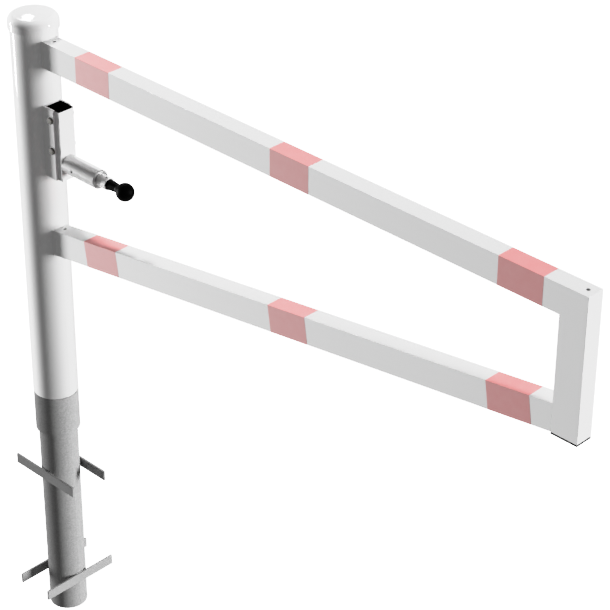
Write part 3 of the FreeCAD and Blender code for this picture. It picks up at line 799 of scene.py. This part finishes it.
def wrap_section():
    """The film's cross-section: once round the tube, then over its own start on the rear face."""
    side = Vector((1, 0))
    start = Vector((TUBE_WIDE / 2, 0))
    path = [(start, side, 0.0)]
    outline = rounded_outline(TUBE_WIDE, TUBE_TALL, TUBE_CORNER, steps=6)
    path += [(point, out, 0.0) for point, out in outline]
    path.append((start - Vector((0, STEP_RUN)), side, 0.0))
    path.append((start, side, FILM))
    path.append((start + Vector((0, OVERLAP)), side, FILM))
    inner = [point + out * lift for point, out, lift in path]
    outer = [point + out * (lift + FILM) for point, out, lift in path]
    return outer + inner[::-1]


def film_bands(node, offset, lay):
    """Three bands of film; lay puts a point of the straight bar's frame onto its arm."""
    section = wrap_section()
    bm = bmesh.new()
    for start, end in band_spans():
        join_rings(bm, [[lay(x + offset, point) for point in section] for x in (start, end)])
    make_piece(node + "_wrapped", "gate", "red_film", bm, (node,))


def lay_on_top_arm(x, point):
    return Vector((x, point.x, TOP_ARM_HIGH.z - TUBE_TALL / 2 + point.y))


def lay_on_lower_arm(x, point):
    foot = lower_arm_top(0) - LOWER_TALL / 2
    along = x * math.cos(LOWER_ANGLE) - point.y * math.sin(LOWER_ANGLE)
    up = x * math.sin(LOWER_ANGLE) + point.y * math.cos(LOWER_ANGLE)
    return Vector((along, point.x, foot + up))


# ---- Studio -----------------------------------------------------------------------

AIM = Vector((0.7912, 0.0, 0.5677))
CAMERA_AZIMUTH = 44.362
CAMERA_ELEVATION = 31.489
CAMERA_ROLL = 0.325
CAMERA_DISTANCE = 4.4647
LENS = 135.59

LIGHT_AIM = Vector((0.0, 0.0, 0.6))
WHITE_BACKDROP = 4.0  # what the camera sees behind the gate; the tone curve ends there
AMBIENT = 0.185
MIRRORED_WALL = 0.75  # the floor and the rear wall, as reflections show them


def direction(azimuth, elevation):
    """A unit vector at an angle from +X, counterclockwise, and above the horizon."""
    a, e = math.radians(azimuth), math.radians(elevation)
    return Vector((math.cos(a) * math.cos(e), math.sin(a) * math.cos(e), math.sin(e)))


def make_camera():
    """The camera stands off along its own azimuth and looks at the middle of the picture."""
    data = bpy.data.cameras.new("camera")
    data.lens = LENS
    data.sensor_width = 36.0
    data.clip_end = 100.0
    camera = bpy.data.objects.new("camera", data)
    bpy.context.scene.collection.objects.link(camera)
    back = direction(CAMERA_AZIMUTH - 90, CAMERA_ELEVATION)
    camera.rotation_mode = "QUATERNION"
    level = (-back).to_track_quat("-Z", "Y")
    roll = Matrix.Rotation(math.radians(CAMERA_ROLL), 4, "Z").to_quaternion()
    camera.rotation_quaternion = level @ roll
    camera.location = AIM + back * CAMERA_DISTANCE
    bpy.context.scene.camera = camera


def softbox(name, azimuth, elevation, distance, size, brightness, receivers, role="both"):
    """An area light; brightness is what it adds to a white surface that faces it at the aim.

    A fill has no reflection, and a reflection is a soft oval that only reflections show.
    """
    data = bpy.data.lights.new(name, "AREA")
    data.shape = "ELLIPSE" if role == "reflection" else "RECTANGLE"
    data.size, data.size_y = size
    data.energy = brightness * math.pi**2 * distance**2
    light = bpy.data.objects.new(name, data)
    bpy.context.scene.collection.objects.link(light)
    away = direction(azimuth, elevation)
    light.rotation_mode = "QUATERNION"
    light.rotation_quaternion = (-away).to_track_quat("-Z", "Y")
    light.location = LIGHT_AIM + away * distance
    light.visible_diffuse = role != "reflection"
    light.visible_glossy = role != "fill"
    light.light_linking.receiver_collection = receivers


def lit_group(name, state, *finishes):
    """A light-linking group that includes or leaves out the pieces with these finishes."""
    group = bpy.data.collections.new(name)
    wanted = [FINISHES[finish] for finish in finishes]
    for thing in bpy.context.scene.objects:
        if thing.type == "MESH" and thing.data.materials and thing.data.materials[0] in wanted:
            group.objects.link(thing)
    for entry in group.collection_objects:
        entry.light_linking.link_state = state
    return group


def make_lights():
    """Tall side and back panels, a small key with soft fills, and cards for reflections.

    Zinc, bright steel and film each have lights of their own where the others' would be
    too strong or too weak on them.
    """
    zinc_finishes = ("galvanised_steel", "galvanised_flat_bar")
    steel_finishes = ("bright_steel", "spring_steel")
    zinc = lit_group("zinc_only", "INCLUDE", *zinc_finishes)
    steel = lit_group("steel_only", "INCLUDE", *steel_finishes)
    painted = lit_group("painted_only", "EXCLUDE", *zinc_finishes, *steel_finishes)
    all_but_zinc = lit_group("all_but_zinc", "EXCLUDE", *zinc_finishes)
    all_but_steel = lit_group("all_but_steel", "EXCLUDE", *steel_finishes)
    all_but_film = lit_group("all_but_film", "EXCLUDE", "red_film")
    film = lit_group("film_only", "INCLUDE", "red_film")
    side = (203.6, -10.5, 9.5, (1.65, 4.9))
    back = (31.5, 6.0, 20.0, (3.0, 7.5))
    softbox("side_panel", *side, 2.1, painted)
    softbox("side_panel_steel", *side, 0.55, steel)
    softbox("side_panel_zinc", *side, 1.1, zinc)
    softbox("back_panel", *back, 1.16, all_but_zinc)
    softbox("back_panel_zinc", *back, 2.4, zinc)
    key = (160.0, 57.0, 10.0, (1.3, 1.3))
    key_on_film = (162.0, 57.0, 10.0, (1.1, 1.1))
    softbox("key", *key, 0.60, all_but_film, "fill")
    softbox("key_film", *key_on_film, 1.1, film, "fill")
    softbox("top_fill", 135.0, 78.0, 8.0, (1.2, 1.2), 0.24, all_but_film, "fill")
    softbox("rear_fill", 115.0, 20.0, 10.0, (1.6, 1.6), 0.36, all_but_film, "fill")
    softbox("rear_card", 145.0, 37.0, 9.0, (0.95, 1.8), 0.16, all_but_steel, "reflection")
    softbox("rear_card_steel", 133.0, 10.0, 9.0, (4.4, 11.0), 0.18, steel, "reflection")
    softbox("floor_card_steel", 213.0, -40.0, 6.0, (4.4, 5.4), 0.075, steel, "reflection")


def make_world():
    """White to the camera and dim grey light, with a paler floor and rear wall in reflections."""
    world = bpy.data.worlds.new("studio")
    world.use_nodes = True
    w = NodeTree(world.node_tree)
    ray = w.add("ShaderNodeTexCoord").outputs["Generated"]
    wall = w.add("ShaderNodeVectorMath", operation="DOT_PRODUCT")
    w.plug(ray, wall.inputs[0])
    wall.inputs[1].default_value = direction(138, 22)
    upward = w.add("ShaderNodeSeparateXYZ")
    w.plug(ray, upward.inputs[0])
    floor_share = w.span(upward.outputs["Z"], -0.68, -0.56, 1.0, 0.0)
    wall_share = w.span(wall.outputs["Value"], 0.75, 0.94)
    pale_share = w.math("MAXIMUM", floor_share, wall_share)
    mirrored = w.mix(pale_share, grey(AMBIENT), grey(MIRRORED_WALL))
    path = w.add("ShaderNodeLightPath")
    colour = w.mix(path.outputs["Is Glossy Ray"], grey(AMBIENT), mirrored)
    colour = w.mix(path.outputs["Is Camera Ray"], colour, grey(WHITE_BACKDROP))
    background = w.add("ShaderNodeBackground")
    output = w.add("ShaderNodeOutputWorld")
    w.plug(colour, background.inputs["Color"])
    w.plug(background.outputs[0], output.inputs["Surface"])
    bpy.context.scene.world = world


def make_floor():
    """A plain white floor under the ground tube that only the camera sees."""
    mesh = bpy.data.meshes.new("floor")
    half = 30.0
    z = CAD_BOX[0].z
    corners = [(-half, -half, z), (half, -half, z), (half, half, z), (-half, half, z)]
    mesh.from_pydata(corners, [], [(0, 1, 2, 3)])
    floor = bpy.data.objects.new("floor", mesh)
    bpy.context.scene.collection.objects.link(floor)
    f = Finish("floor")
    emission = f.add("ShaderNodeEmission")
    emission.inputs["Color"].default_value = grey(1.0)
    emission.inputs["Strength"].default_value = WHITE_BACKDROP
    clear = f.add("ShaderNodeBsdfTransparent")
    path = f.add("ShaderNodeLightPath")
    pick = f.add("ShaderNodeMixShader")
    f.plug(path.outputs["Is Camera Ray"], pick.inputs[0])
    f.plug(clear.outputs[0], pick.inputs[1])
    f.plug(emission.outputs[0], pick.inputs[2])
    f.plug(pick.outputs[0], f.output.inputs["Surface"])
    mesh.materials.append(f.material)


TONE_SHOULDER = (
    (0.3, 0.288), (0.6, 0.576), (0.78, 0.735), (0.92, 0.81), (1.05, 0.845), (1.3, 0.875),
)
TONE_END = (WHITE_BACKDROP, 1.05)


def set_tone():
    """A plain display transform with a soft shoulder, so that lit white paint keeps its shading."""
    view = bpy.context.scene.view_settings
    view.view_transform = "Standard"
    view.look = "None"
    view.use_curve_mapping = True
    mapping = view.curve_mapping
    mapping.use_clip = False
    mapping.clip_max_x = TONE_END[0]
    mapping.clip_max_y = TONE_END[0]
    curve = mapping.curves[3]
    curve.points[0].location = (0.0, 0.0)
    curve.points[1].location = TONE_END
    for point in TONE_SHOULDER:
        curve.points.new(*point)
    mapping.update()


# ---- Building ---------------------------------------------------------------------

paint_cad_nodes()
gate_welds()
ground_welds()
anchor_bars("upper_anchor_bars")
anchor_bars("lower_anchor_bars")
bracket_plates()
bracket_fasteners()
plug("end_plug", END_PLUG_FLANGE, "black_plastic")
plug("housing_top_plug", HOUSING_PLUG_FLANGE, "black_plastic")
plug("housing_bottom_plug", HOUSING_PLUG_FLANGE, "white_gloss_cap")
ball_knob()
film_bands("top_arm_bands", 0.0, lay_on_top_arm)
film_bands("lower_arm_bands", TUBE_TALL / 2 * LOWER_SLOPE, lay_on_lower_arm)

make_camera()
make_lights()
make_world()
make_floor()
set_tone()
